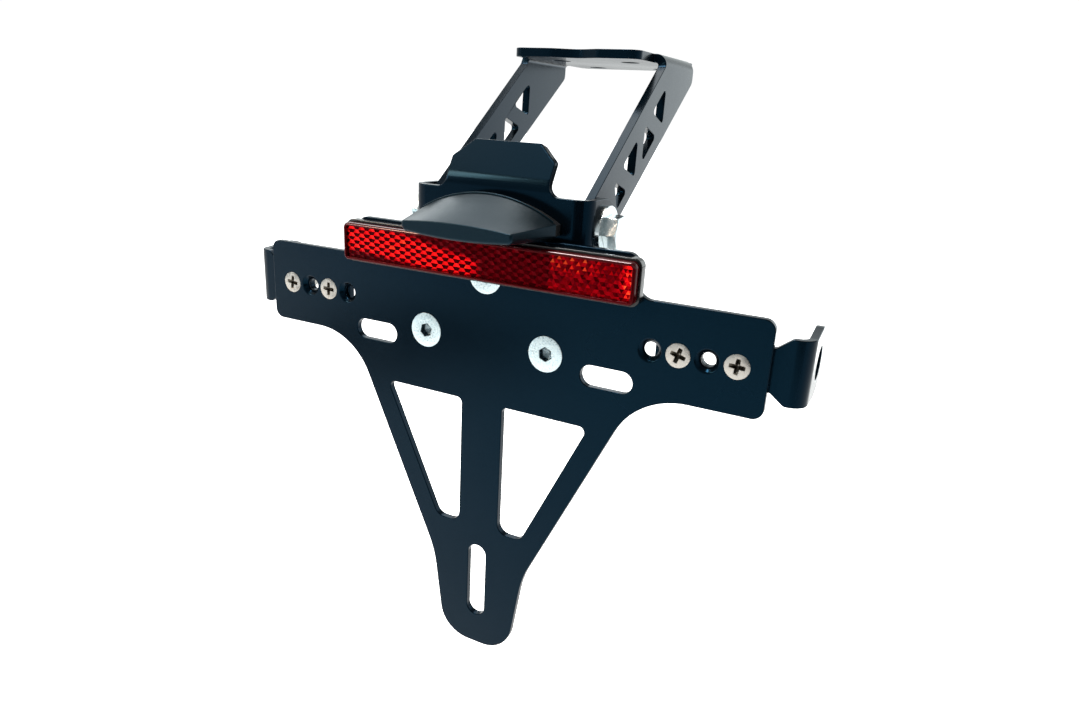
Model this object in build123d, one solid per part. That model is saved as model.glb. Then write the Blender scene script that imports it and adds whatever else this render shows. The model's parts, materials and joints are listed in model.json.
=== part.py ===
"""Tail tidy for a motorbike: a number plate carrier hung from the tail by a folded bracket.

Origin: midway between the two upper number plate slots, on the carrier's front face.
+X is the rider's right as seen from behind, +Y points forwards along the bike, +Z up.
"""
import os
from math import cos, radians, sin, sqrt, tan

from build123d import *

# Sheets, millimetres
carrier_sheet = 2.5
pivot_sheet = 2.5
tail_sheet = 3.0
indicator_sheet = 2.5
bend_inner_radius = 1.2

# Number plate carrier, front view
wing_half_width = 91.0
wing_top = 26.6
wing_bottom = -2.6
wing_corner_radius = 3.3
raised_half_width = 50.6
raised_top = 39.5
raised_corner_radius = 3.5
raised_root_radius = 5.0
flank_top_x = 54.1
flank_foot_x = 18.3
flank_foot_z = -80.1
flank_radius = 24.0
waist_radius = 40.0
tongue_half_width = 13.5
tongue_bottom = -113.4
tongue_radius = 12.0
flank_width = 8.4
strut_width = 15.7
window_top = -17.4
window_bottom = -64.9
window_top_radius = 2.0
window_foot_radius = 4.0
plate_slot_pitch = 87.0
plate_slot_length = 17.2
plate_slot_width = 7.0
lower_slot_z = -86.8
lower_slot_length = 29.0
lower_slot_width = 7.2

# Indicator bracket holes, on one line in each wing; every second one takes a screw
side_hole_z = 11.8
side_hole_inset = 34.6
side_hole_pitch = 8.55
side_hole_count = 4

# Carrier screws into the pivot bracket
lower_screw_x = 22.6
lower_screw_z = 4.0
upper_screw_z = 25.9
spacer_length = 2.0
spacer_radius = 7.0
spacer_bore_radius = 3.7

# Pivot and pivot bracket
pivot_y = 18.0
pivot_z = 41.8
ear_radius = 10.1
ear_outer_x = 32.0
wall_foot_z = -5.2
wall_foot_radius = 6.0
hood_root_half_width = 18.4
hood_root_radius = 3.5
hood_fold_z = 55.3
hood_lean = 30.0
hood_bend_inner_radius = 6.5
hood_length = 13.7
hood_shoulder_rise = 6.3
hood_top_half_width = 11.6
hood_corner_radius = 1.5

# Tail bracket
pivot_gap = 0.3
arm_rise = 35.3
arm_half_width = 9.5
arm_taper = 1.3
arm_near_y = 72.1
arm_far_y = 106.0
arm_corner_radius = 3.0
top_plate_z = 94.9
top_near_y = 56.0
top_far_y = 122.0
top_near_half_width = 24.4
top_far_half_width = 24.6
top_corner_radius = 4.0
scallop_half_width = 9.0
scallop_depth = 4.0
scallop_radius = 4.0
tail_bolt_x = 14.0
tail_bolt_near_y = 76.0
tail_bolt_far_y = 112.0
tail_bolt_radius = 3.5
truss_offset = -0.8
truss_half_height = 4.9
truss_half_base = 7.5
truss_first = 34.0
truss_pitch = 15.2
truss_count = 3
truss_end_foot = 16.6
truss_end_base = 9.6
truss_end_peak = 2.2
truss_corner_radius = 1.2

# Fasteners
small_thread_radius = 2.0
small_head_radius = 3.8
small_nut_flats = 7.0
small_nut_height = 4.6
small_washer_radius = 4.5
small_washer_height = 0.8
small_screw_length = 13.0
big_thread_radius = 3.0
big_head_radius = 6.0
big_nut_flats = 10.0
big_nut_height = 6.0
big_screw_length = 15.5
socket_flats = 4.0
socket_depth = 2.2
cross_length = 4.0
cross_width = 0.9
cross_depth = 1.3
pivot_thread_radius = 3.0
pivot_head_flats = 10.0
pivot_head_height = 4.4
pivot_head_turn = 36.0
pivot_nut_height = 6.0
pivot_washer_radius = 8.0
pivot_washer_height = 1.6
pivot_thread_past_nut = 1.5
stud_radius = 2.5
stud_nut_flats = 8.0
stud_nut_height = 5.0
stud_washer_radius = 5.0
stud_washer_height = 1.0
stud_past_nut = 1.0
stud_root = 0.5
nut_hexagon_share = 0.7
nut_chamfer_share = 0.92
nut_collar_share = 0.92
head_face_share = 0.95
head_chamfer_slope = 1.7
thread_end_chamfer = 0.6
cut_past = 1.0
hole_clearance = 0.2
thread_clearance = 0.05
pivot_fit = 0.05
seat_clearance = 0.1

# Reflector
reflector_half_width = 52.9
reflector_bottom = 24.5
reflector_top = 38.7
reflector_corner_radius = 2.6
reflector_back_depth = 3.4
reflector_lens_depth = 2.9
reflector_lens_inset = 0.8
reflector_bevel = 0.7
stud_x = 42.0

# Plate light
light_front_y = -18.5
light_back_y = -0.5
light_front_half_width = 18.9
light_front_corner_top = 43.2
light_front_crown = 44.2
light_front_corner_foot = 40.3
light_front_belly = 39.1
light_back_half_width = 24.2
light_back_corner_top = 44.8
light_back_crown = 51.8
light_back_foot = 40.0
light_corner_radius = 1.0
light_foot_radius = 1.8
light_back_bow = 0.2
screw_hole_past = 0.5
gasket_inset = 1.0
light_screw_x = 14.0
light_screw_z = 45.2
light_screw_reach = 3.5
light_screw_head_radius = 3.5
light_screw_head_height = 2.1
light_screw_head_rounding = 0.84
pocket_half_width = 14.0
pocket_front_y = -15.0
pocket_back_y = -8.0
pocket_roof_z = 43.1
pocket_corner_radius = 1.0
light_lens_depth = 1.0
light_lens_z = 40.7
light_board_depth = 0.8
led_count = 3
led_pitch = 8.0
led_size = 2.4

# Indicator brackets
indicator_past_first_hole = 0.9
indicator_half_height = 6.5
indicator_flare_start = 0.3
indicator_flare_length = 4.2
indicator_flare_half_height = 9.8
indicator_flare_radius = 2.0
indicator_overhang = 10.4
indicator_bend_inner_radius = 2.5
indicator_hole_y = 18.4
indicator_ear_radius = 10.8
indicator_hole_radius = 5.1

# Depths and places that follow
carrier_back_y = carrier_sheet
wall_front_y = carrier_back_y + spacer_length
wall_back_y = wall_front_y + pivot_sheet
ear_inner_x = ear_outer_x - pivot_sheet
arm_outer_x = ear_inner_x - pivot_gap
arm_inner_x = arm_outer_x - tail_sheet
shoulder_z = pivot_z + ear_radius
top_plate_top = top_plate_z + tail_sheet
reflector_z = (reflector_bottom + reflector_top) / 2
indicator_back_y = carrier_back_y + indicator_sheet
side_hole_first = wing_half_width - side_hole_inset
indicator_inner_x = side_hole_first + indicator_past_first_hole
indicator_outer_x = wing_half_width + indicator_overhang
indicator_flare_start_x = wing_half_width + indicator_flare_start
indicator_flare_end_x = indicator_flare_start_x + indicator_flare_length
FORWARDS = (0, 1, 0)
RIGHT = (1, 0, 0)
UP = (0, 0, 1)


def rounded_face(corners):
    """Face inside straight sides that meet in the corners (u, v, radius), clockwise or not."""
    points = [Vector(u, v) for u, v, radius in corners]
    joints = []
    for i, (u, v, radius) in enumerate(corners):
        back = (points[i - 1] - points[i]).normalized()
        on = (points[(i + 1) % len(points)] - points[i]).normalized()
        half_angle = radians(back.get_angle(on) / 2)
        reach = radius / tan(half_angle)
        nearest = points[i] + (back + on).normalized() * (radius / sin(half_angle) - radius)
        joints.append((points[i] + back * reach, nearest, points[i] + on * reach))
    edges = []
    for i, (enter, nearest, leave) in enumerate(joints):
        if corners[i][2] > 0:
            edges.append(ThreePointArc(enter, nearest, leave))
        following = joints[(i + 1) % len(joints)][0]
        if (following - leave).length > 1e-5:
            edges.append(Line(leave, following))
    return make_face(edges)


def both_halves(right_half):
    """Corner list of a symmetric outline from its right half, top to bottom."""
    return right_half + [(-u, v, radius) for u, v, radius in reversed(right_half)]


def from_front(face, y, depth):
    """Sheet of the given depth with its front-view outline, starting at y."""
    plane = Plane((0, y, 0), x_dir=RIGHT, z_dir=(0, -1, 0))
    return extrude(plane * face, amount=depth, dir=FORWARDS)


def from_side(face, x, width):
    """Solid of the given width with its side-view outline, starting at x."""
    plane = Plane((x, 0, 0), x_dir=FORWARDS, z_dir=RIGHT)
    return extrude(plane * face, amount=width, dir=RIGHT)


def from_above(face, z, height):
    """Solid of the given height with its plan outline, starting at z."""
    return extrude(Plane((0, 0, z)) * face, amount=height, dir=UP)


def rod(radius, start, direction, length):
    """Cylinder from a start point along a direction."""
    base = (Align.CENTER, Align.CENTER, Align.MIN)
    return Plane(start, z_dir=direction) * Cylinder(radius, length, align=base)


def cone(wide, narrow, start, direction, length):
    """Cone that narrows from a start point along a direction."""
    base = (Align.CENTER, Align.CENTER, Align.MIN)
    return Plane(start, z_dir=direction) * Cone(wide, narrow, length, align=base)


def hexagon(flats, start, direction, length, turn=0):
    """Hexagonal bar from a start point along a direction, turned about it by some degrees."""
    face = RegularPolygon(flats / 2, 6, major_radius=False, rotation=turn)
    return extrude(Plane(start, z_dir=direction) * face, amount=length)


def countersink(radius, hole_radius, x, z, depth):
    """Cutter for a countersunk hole in a sheet that starts at y = 0."""
    mouth = radius + seat_clearance
    hole = rod(hole_radius, (x, -1, z), FORWARDS, depth + 2)
    return hole + cone(mouth, hole_radius, (x, 0, z), FORWARDS, mouth - hole_radius)


def ring(outer, inner, start, direction, length):
    """Washer or sleeve from a start point along a direction."""
    bore_start = Vector(start) - Vector(direction)
    return rod(outer, start, direction, length) - rod(inner, bore_start, direction, length + 2)


def lock_nut(flats, height, bore_radius, start, direction):
    """Hexagon nut with a rounded seat and the round collar of its locking ring."""
    corner = flats / sqrt(3)
    hex_height = height * nut_hexagon_share
    body = hexagon(flats, start, direction, hex_height)
    chamfer_reach = corner + hex_height
    seat = corner * nut_chamfer_share
    body &= cone(chamfer_reach, seat, start, direction, chamfer_reach - seat)
    collar_start = Vector(start) + Vector(direction) * hex_height
    body += rod(flats / 2 * nut_collar_share, collar_start, direction, height - hex_height)
    bore_start = Vector(start) - Vector(direction)
    return body - rod(bore_radius + thread_clearance, bore_start, direction, height + 2)


def side_hole_x(index):
    return side_hole_first + index * side_hole_pitch


def side_screw_places():
    return [side * side_hole_x(i) for side in (-1, 1) for i in range(1, side_hole_count, 2)]


def carrier_screw_places():
    return [(-lower_screw_x, lower_screw_z), (lower_screw_x, lower_screw_z), (0, upper_screw_z)]


def flank_x(z):
    """Outer edge of the carrier's flank at height z."""
    share = (z - wing_bottom) / (flank_foot_z - wing_bottom)
    return flank_top_x + share * (flank_foot_x - flank_top_x)


def number_plate_carrier():
    """Flat sheet with wings, raised middle, two windows, three slots and a tongue."""
    outline = both_halves([
        (raised_half_width, raised_top, raised_corner_radius),
        (raised_half_width, wing_top, raised_root_radius),
        (wing_half_width, wing_top, wing_corner_radius),
        (wing_half_width, wing_bottom, wing_corner_radius),
        (flank_top_x, wing_bottom, flank_radius),
        (flank_foot_x, flank_foot_z, waist_radius),
        (tongue_half_width, tongue_bottom, tongue_radius),
    ])
    face = rounded_face(outline)
    for side in (-1, 1):
        face -= rounded_face([
            (side * strut_width / 2, window_top, window_top_radius),
            (side * (flank_x(window_top) - flank_width), window_top, window_top_radius),
            (side * (flank_x(window_bottom) - flank_width), window_bottom, window_foot_radius),
            (side * strut_width / 2, window_bottom, window_foot_radius),
        ])
        slot = SlotOverall(plate_slot_length, plate_slot_width)
        face -= Pos(side * plate_slot_pitch / 2, 0) * slot
        face -= Pos(side * stud_x, reflector_z) * Circle(stud_radius + hole_clearance)
    lower_slot = SlotOverall(lower_slot_length, lower_slot_width, rotation=90)
    face -= Pos(0, lower_slot_z) * lower_slot
    sheet = from_front(face, 0, carrier_sheet)
    for side in (-1, 1):
        for i in range(side_hole_count):
            x = side * side_hole_x(i)
            sheet -= countersink(small_head_radius, small_thread_radius + hole_clearance,
                                 x, side_hole_z, carrier_sheet)
    for x, z in carrier_screw_places():
        sheet -= countersink(big_head_radius, big_thread_radius + hole_clearance, x, z, carrier_sheet)
    return sheet


def pivot_wall():
    """U fold seen from above, cut to the ears' side outline, with the wall below it."""
    outer_radius = bend_inner_radius + pivot_sheet
    ear_end_y = pivot_y + ear_radius
    fold = rounded_face(both_halves([
        (ear_outer_x, ear_end_y, 0),
        (ear_outer_x, wall_front_y, outer_radius),
    ]))
    fold -= rounded_face(both_halves([
        (ear_inner_x, ear_end_y + 1, 0),
        (ear_inner_x, wall_back_y, bend_inner_radius),
    ]))
    ears = from_above(fold, pivot_z - ear_radius, 2 * ear_radius)
    side_outline = rounded_face([
        (wall_front_y, shoulder_z, 0),
        (ear_end_y, shoulder_z, ear_radius),
        (ear_end_y, pivot_z - ear_radius, ear_radius),
        (wall_front_y, pivot_z - ear_radius, 0),
    ])
    ears &= from_side(side_outline, -ear_outer_x, 2 * ear_outer_x)
    flat_half_width = ear_outer_x - outer_radius
    wall = rounded_face(both_halves([
        (flat_half_width, shoulder_z, 0),
        (flat_half_width, wall_foot_z, wall_foot_radius),
    ]))
    return ears + from_front(wall, wall_front_y, pivot_sheet)


def pivot_hood():
    """Neck above the shoulders that folds forwards into a short leaning tab."""
    lean = radians(hood_lean)
    up = Vector(sin(lean), cos(lean))
    across = Vector(cos(lean), -sin(lean))
    front_fold = Vector(wall_front_y, hood_fold_z)
    back_fold = Vector(wall_back_y, hood_fold_z - pivot_sheet * tan(lean / 2))
    front_tip = front_fold + up * hood_length
    back_tip = front_tip + across * pivot_sheet
    root_z = shoulder_z - 2 * hood_root_radius
    side = rounded_face([
        (wall_front_y, root_z, 0),
        (front_fold.X, front_fold.Y, hood_bend_inner_radius + pivot_sheet),
        (front_tip.X, front_tip.Y, 0),
        (back_tip.X, back_tip.Y, 0),
        (back_fold.X, back_fold.Y, hood_bend_inner_radius),
        (wall_back_y, root_z, 0),
    ])
    tip_z = front_tip.Y + 1
    root_half_width = hood_root_half_width + 2 * hood_root_radius
    mask = rounded_face(both_halves([
        (hood_top_half_width, tip_z, 0),
        (hood_top_half_width, front_tip.Y, hood_corner_radius),
        (hood_root_half_width, hood_fold_z + hood_shoulder_rise, hood_corner_radius),
        (hood_root_half_width, shoulder_z, hood_root_radius),
        (root_half_width, shoulder_z, 0),
        (root_half_width, root_z, 0),
    ]))
    bent = from_side(side, -root_half_width, 2 * root_half_width)
    return bent & from_front(mask, wall_front_y, back_tip.X - wall_front_y + pivot_sheet)


def pivot_bracket():
    bracket = pivot_wall() + pivot_hood()
    for x, z in carrier_screw_places():
        start = (x, wall_front_y - 1, z)
        bracket -= rod(big_thread_radius + hole_clearance, start, FORWARDS, pivot_sheet + 2)
    for side in (-1, 1):
        start = (side * light_screw_x, wall_front_y - 1, light_screw_z)
        bracket -= rod(small_thread_radius + hole_clearance, start, FORWARDS, pivot_sheet + 2)
    hole_start = (-ear_outer_x - 1, pivot_y, pivot_z)
    return bracket - rod(pivot_thread_radius + hole_clearance, hole_start, RIGHT, 2 * ear_outer_x + 2)


def on_arm(along, aside):
    """Side-view place (y, z) from a distance along the arm and one towards its upper edge."""
    rise = radians(arm_rise)
    y = pivot_y + along * cos(rise) - aside * sin(rise)
    z = pivot_z + along * sin(rise) + aside * cos(rise)
    return y, z


def arm_edge_z(y, side):
    """Height of the arm's upper (side 1) or lower (side -1) edge above y."""
    start_y, start_z = on_arm(0, side * arm_half_width)
    return start_z + (y - start_y) * tan(radians(arm_rise + side * arm_taper))


def truss_windows():
    """Side-view faces of the triangles, each turned over from the one before."""
    low = truss_offset - truss_half_height
    high = truss_offset + truss_half_height
    triangles = [[
        (truss_end_foot, low),
        (truss_end_foot + truss_end_peak, high),
        (truss_end_foot + truss_end_base, low),
    ]]
    for i in range(truss_count):
        middle = truss_first + i * truss_pitch
        base, peak = (high, low) if i % 2 == 0 else (low, high)
        triangles.append([
            (middle - truss_half_base, base),
            (middle + truss_half_base, base),
            (middle, peak),
        ])
    return [rounded_face([(*on_arm(s, t), truss_corner_radius) for s, t in triangle])
            for triangle in triangles]


def tail_arms():
    """U fold seen from the front, cut to the arms' side outline and truss windows."""
    fold = rounded_face(both_halves([
        (arm_outer_x, top_plate_top, bend_inner_radius + tail_sheet),
        (arm_outer_x, pivot_z - 2 * arm_half_width, 0),
    ]))
    fold -= rounded_face(both_halves([
        (arm_inner_x, top_plate_z, bend_inner_radius),
        (arm_inner_x, pivot_z - 2 * arm_half_width - 1, 0),
    ]))
    end_half_width = arm_half_width - arm_half_width * tan(radians(arm_taper))
    end_radius = end_half_width * 0.999
    upper_end = on_arm(-arm_half_width, end_half_width)
    lower_end = on_arm(-arm_half_width, -end_half_width)
    outline = rounded_face([
        (*lower_end, end_radius),
        (arm_far_y, arm_edge_z(arm_far_y, -1), arm_corner_radius),
        (arm_far_y, top_plate_top + 1, 0),
        (arm_near_y, top_plate_top + 1, 0),
        (arm_near_y, arm_edge_z(arm_near_y, 1), arm_corner_radius),
        (*upper_end, end_radius),
    ])
    for window in truss_windows():
        outline -= window
    start_y = pivot_y - 2 * arm_half_width
    folded = from_front(fold, start_y, arm_far_y - start_y + 1)
    return folded & from_side(outline, -arm_outer_x, 2 * arm_outer_x)


def tail_top_plate():
    """Flat top with a scalloped near edge and a far end that reaches past the arms."""
    near = rounded_face([
        (-top_near_half_width, arm_near_y + 1, 0),
        (-top_near_half_width, top_near_y, top_corner_radius),
        (-scallop_half_width, top_near_y, scallop_radius),
        (0, top_near_y + scallop_depth, 2 * scallop_radius),
        (scallop_half_width, top_near_y, scallop_radius),
        (top_near_half_width, top_near_y, top_corner_radius),
        (top_near_half_width, arm_near_y + 1, 0),
    ])
    far = rounded_face([
        (-top_far_half_width, arm_near_y, 0),
        (top_far_half_width, arm_near_y, 0),
        (top_far_half_width, top_far_y, top_corner_radius),
        (-top_far_half_width, top_far_y, top_corner_radius),
    ])
    return from_above(near, top_plate_z, tail_sheet) + from_above(far, top_plate_z, tail_sheet)


def tail_bracket():
    bracket = tail_arms() + tail_top_plate()
    for x in (-tail_bolt_x, tail_bolt_x):
        for y in (tail_bolt_near_y, tail_bolt_far_y):
            bracket -= rod(tail_bolt_radius, (x, y, top_plate_z - 1), UP, tail_sheet + 2)
    hole_start = (-arm_outer_x - 1, pivot_y, pivot_z)
    return bracket - rod(pivot_thread_radius + pivot_fit, hole_start, RIGHT, 2 * arm_outer_x + 2)


def pivot_stack(side):
    """Places along X where the parts of one pivot begin, from the head inwards."""
    head = side * (ear_outer_x + pivot_washer_height)
    inner_washer = side * (arm_inner_x - seat_clearance)
    nut = inner_washer - side * pivot_washer_height
    return head, inner_washer, nut


def pivot_bolt(side):
    """Hexagon bolt through ear and arm, head outside."""
    head_x, inner_washer_x, nut_x = pivot_stack(side)
    outwards = (side, 0, 0)
    inwards = (-side, 0, 0)
    corner = pivot_head_flats / sqrt(3)
    head = hexagon(pivot_head_flats, (head_x, pivot_y, pivot_z), outwards, pivot_head_height,
                   pivot_head_turn)
    top_x = head_x + side * pivot_head_height
    face_radius = pivot_head_flats / 2 * head_face_share
    chamfer_length = pivot_head_height * 2
    wide_radius = face_radius + chamfer_length * head_chamfer_slope
    head &= cone(face_radius, wide_radius, (top_x, pivot_y, pivot_z), inwards, chamfer_length)
    tip_x = nut_x - side * (pivot_nut_height + pivot_thread_past_nut)
    shank = rod(pivot_thread_radius, (head_x, pivot_y, pivot_z), inwards, abs(head_x - tip_x))
    shank = chamfer(shank.edges().sort_by(Axis.X)[0 if side > 0 else -1], thread_end_chamfer)
    return head + shank


def pivot_washers(side):
    bore = pivot_thread_radius + hole_clearance
    head_x, inner_washer_x, nut_x = pivot_stack(side)
    outer = ring(pivot_washer_radius, bore, (side * ear_outer_x, pivot_y, pivot_z),
                 (side, 0, 0), pivot_washer_height)
    inner = ring(pivot_washer_radius, bore, (inner_washer_x, pivot_y, pivot_z),
                 (-side, 0, 0), pivot_washer_height)
    return [outer, inner]


def pivot_nut(side):
    head_x, inner_washer_x, nut_x = pivot_stack(side)
    return lock_nut(pivot_head_flats, pivot_nut_height, pivot_thread_radius,
                    (nut_x, pivot_y, pivot_z), (-side, 0, 0))


def carrier_screw(x, z):
    """Countersunk screw with a hexagon socket, head flush with the carrier."""
    head = cone(big_head_radius, big_thread_radius, (x, 0, z), FORWARDS,
                big_head_radius - big_thread_radius)
    shank = rod(big_thread_radius, (x, 0, z), FORWARDS, big_screw_length)
    return head + shank - hexagon(socket_flats, (x, -1, z), FORWARDS, socket_depth + 1)


def carrier_spacer(x, z):
    return ring(spacer_radius, spacer_bore_radius, (x, carrier_back_y, z), FORWARDS, spacer_length)


def carrier_nut(x, z):
    return lock_nut(big_nut_flats, big_nut_height, big_thread_radius, (x, wall_back_y, z), FORWARDS)


def indicator_screw(x):
    """Countersunk screw with a cross recess, head flush with the carrier."""
    head = cone(small_head_radius, small_thread_radius, (x, 0, side_hole_z), FORWARDS,
                small_head_radius - small_thread_radius)
    shank = rod(small_thread_radius, (x, 0, side_hole_z), FORWARDS, small_screw_length)
    cross = Rectangle(cross_length, cross_width) + Rectangle(cross_width, cross_length)
    recess = from_front(Pos(x, side_hole_z) * cross, -1, cross_depth + 1)
    return head + shank - recess


def indicator_washer(x):
    bore = small_thread_radius + hole_clearance
    return ring(small_washer_radius, bore, (x, indicator_back_y, side_hole_z),
                FORWARDS, small_washer_height)


def indicator_nut(x):
    start = (x, indicator_back_y + small_washer_height, side_hole_z)
    return lock_nut(small_nut_flats, small_nut_height, small_thread_radius, start, FORWARDS)


def indicator_bracket():
    """Right-hand strip behind the wing that flares and folds forwards into a round ear."""
    far_y = indicator_hole_y + indicator_ear_radius
    inner_x = indicator_outer_x - indicator_sheet
    outer_radius = indicator_bend_inner_radius + indicator_sheet
    fold = rounded_face([
        (indicator_inner_x, carrier_back_y, 0),
        (indicator_outer_x, carrier_back_y, outer_radius),
        (indicator_outer_x, far_y, 0),
        (inner_x, far_y, 0),
        (inner_x, indicator_back_y, indicator_bend_inner_radius),
        (indicator_inner_x, indicator_back_y, 0),
    ])
    bracket = from_above(fold, side_hole_z - indicator_ear_radius, 2 * indicator_ear_radius)
    upper = [
        (indicator_inner_x, indicator_half_height, 0),
        (indicator_flare_start_x, indicator_half_height, indicator_flare_radius),
        (indicator_flare_end_x, indicator_flare_half_height, indicator_flare_radius),
        (indicator_outer_x - outer_radius, indicator_flare_half_height, 0),
        (indicator_outer_x - outer_radius, indicator_ear_radius, 0),
        (indicator_outer_x, indicator_ear_radius, 0),
    ]
    front = rounded_face(upper + [(x, -z, radius) for x, z, radius in reversed(upper)])
    bracket &= from_front(Pos(0, side_hole_z) * front, carrier_back_y, far_y)
    ear = Pos(indicator_hole_y, 0) * Circle(indicator_ear_radius)
    ear += rounded_face([
        (carrier_back_y, indicator_flare_half_height, 0),
        (carrier_back_y + outer_radius, indicator_flare_half_height, 0),
        (indicator_hole_y, indicator_ear_radius, 0),
        (indicator_hole_y, -indicator_ear_radius, 0),
        (carrier_back_y + outer_radius, -indicator_flare_half_height, 0),
        (carrier_back_y, -indicator_flare_half_height, 0),
    ])
    ear -= Pos(indicator_hole_y, 0) * Circle(indicator_hole_radius)
    bracket &= from_side(Pos(0, side_hole_z) * ear, indicator_inner_x, indicator_outer_x)
    for i in range(1, side_hole_count):
        start = (side_hole_x(i), 0, side_hole_z)
        bracket -= rod(small_thread_radius + hole_clearance, start, FORWARDS, indicator_back_y + 1)
    return bracket


def reflector_outline(inset):
    half = reflector_half_width - inset
    return rounded_face(both_halves([
        (half, reflector_top - inset, reflector_corner_radius - inset),
        (half, reflector_bottom + inset, reflector_corner_radius - inset),
    ]))


def reflector_housing():
    """Shallow back of the reflector with two studs through the carrier."""
    housing = from_front(reflector_outline(0), -reflector_back_depth, reflector_back_depth)
    for x in (-stud_x, stud_x):
        reach = carrier_sheet + stud_washer_height + stud_nut_height + stud_past_nut
        start = (x, -stud_root, reflector_z)
        housing += rod(stud_radius, start, FORWARDS, reach + stud_root)
    return housing


def reflector_lens():
    """Moulded lens with a bevelled front edge."""
    front_y = -reflector_back_depth - reflector_lens_depth
    lens = from_front(reflector_outline(reflector_lens_inset), front_y, reflector_lens_depth)
    return chamfer(lens.faces().sort_by(Axis.Y)[0].edges(), reflector_bevel)


def stud_washer(x):
    return ring(stud_washer_radius, stud_radius + hole_clearance, (x, carrier_back_y, reflector_z),
                FORWARDS, stud_washer_height)


def stud_nut(x):
    start = (x, carrier_back_y + stud_washer_height, reflector_z)
    return lock_nut(stud_nut_flats, stud_nut_height, stud_radius, start, FORWARDS)


def arched_face(half_width, foot, belly, corner_top, crown):
    """Front-view face with a bowed foot and a crowned top."""
    edges = [
        Line((half_width, foot), (half_width, corner_top)),
        ThreePointArc((half_width, corner_top), (0, crown), (-half_width, corner_top)),
        Line((-half_width, corner_top), (-half_width, foot)),
    ]
    if belly == foot:
        edges.append(Line((-half_width, foot), (half_width, foot)))
    else:
        edges.append(ThreePointArc((-half_width, foot), (0, belly), (half_width, foot)))
    return make_face(edges)


def light_pocket(clearance, z, height):
    """Block that fills the light's pocket with a clearance all round."""
    half = pocket_half_width - clearance
    face = rounded_face([
        (-half, pocket_front_y + clearance, pocket_corner_radius),
        (half, pocket_front_y + clearance, pocket_corner_radius),
        (half, pocket_back_y - clearance, pocket_corner_radius),
        (-half, pocket_back_y - clearance, pocket_corner_radius),
    ])
    return from_above(face, z, height)


def plate_light_shell():
    """Duck-bill hood lofted from its high back to its thin front lip, open underneath."""
    plane = Plane((0, light_front_y, 0), x_dir=RIGHT, z_dir=(0, -1, 0))
    front = plane * arched_face(light_front_half_width, light_front_corner_foot, light_front_belly,
                                light_front_corner_top, light_front_crown)
    plane = Plane((0, light_back_y, 0), x_dir=RIGHT, z_dir=(0, -1, 0))
    low_belly = light_back_foot - light_back_bow
    back = plane * arched_face(light_back_half_width, light_back_foot, low_belly,
                               light_back_corner_top, light_back_crown)
    shell = loft([front, back])
    feet = [edge for edge in shell.edges() if abs(edge.center().X) > light_front_half_width
            and edge.center().Z < light_front_corner_foot]
    shell = fillet(feet, light_foot_radius)
    upright = [edge for edge in shell.edges().filter_by(GeomType.LINE)
               if abs(edge.center().Y - light_front_y) < 0.01]
    shell = fillet(upright, light_corner_radius)
    shell -= light_pocket(0, light_front_belly - 1, pocket_roof_z - light_front_belly + 1)
    for side in (-1, 1):
        depth = light_screw_reach + screw_hole_past
        start = (side * light_screw_x, light_back_y - depth, light_screw_z)
        shell -= rod(small_thread_radius + thread_clearance, start, FORWARDS, depth + cut_past)
    return shell


def plate_light_gasket():
    """Rubber base between the light and the pivot bracket's wall."""
    face = arched_face(light_back_half_width - gasket_inset, light_back_foot + gasket_inset,
                       light_back_foot + gasket_inset, light_back_corner_top - gasket_inset / 2,
                       light_back_crown - gasket_inset)
    gasket = from_front(face, light_back_y, wall_front_y - light_back_y)
    for side in (-1, 1):
        start = (side * light_screw_x, light_back_y - 1, light_screw_z)
        through = wall_front_y - light_back_y + 2
        gasket -= rod(small_thread_radius + hole_clearance, start, FORWARDS, through)
    return gasket


def plate_light_lens():
    return light_pocket(seat_clearance, light_lens_z, light_lens_depth)


def plate_light_board():
    """Circuit board under the pocket's roof with its lamps pointing down at the plate."""
    board_z = pocket_roof_z - light_board_depth
    board = light_pocket(seat_clearance, board_z, light_board_depth)
    led_z = light_lens_z + light_lens_depth
    middle_y = (pocket_front_y + pocket_back_y) / 2
    for i in range(led_count):
        x = (i - (led_count - 1) / 2) * led_pitch
        face = Pos(x, middle_y) * Rectangle(led_size, led_size)
        board += from_above(face, led_z, board_z - led_z)
    return board


def light_screw(side):
    """Pan-head screw from behind the wall into the light's back."""
    seat = (side * light_screw_x, wall_back_y, light_screw_z)
    reach = wall_back_y - light_back_y + light_screw_reach
    head = rod(light_screw_head_radius, seat, FORWARDS, light_screw_head_height)
    head = fillet(head.edges().sort_by(Axis.Y)[-1], light_screw_head_rounding)
    return head + rod(small_thread_radius, seat, (0, -1, 0), reach)


def group(solids):
    """Separate equal pieces that share one node."""
    return Compound([solid for piece in solids for solid in piece.solids()])


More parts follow.
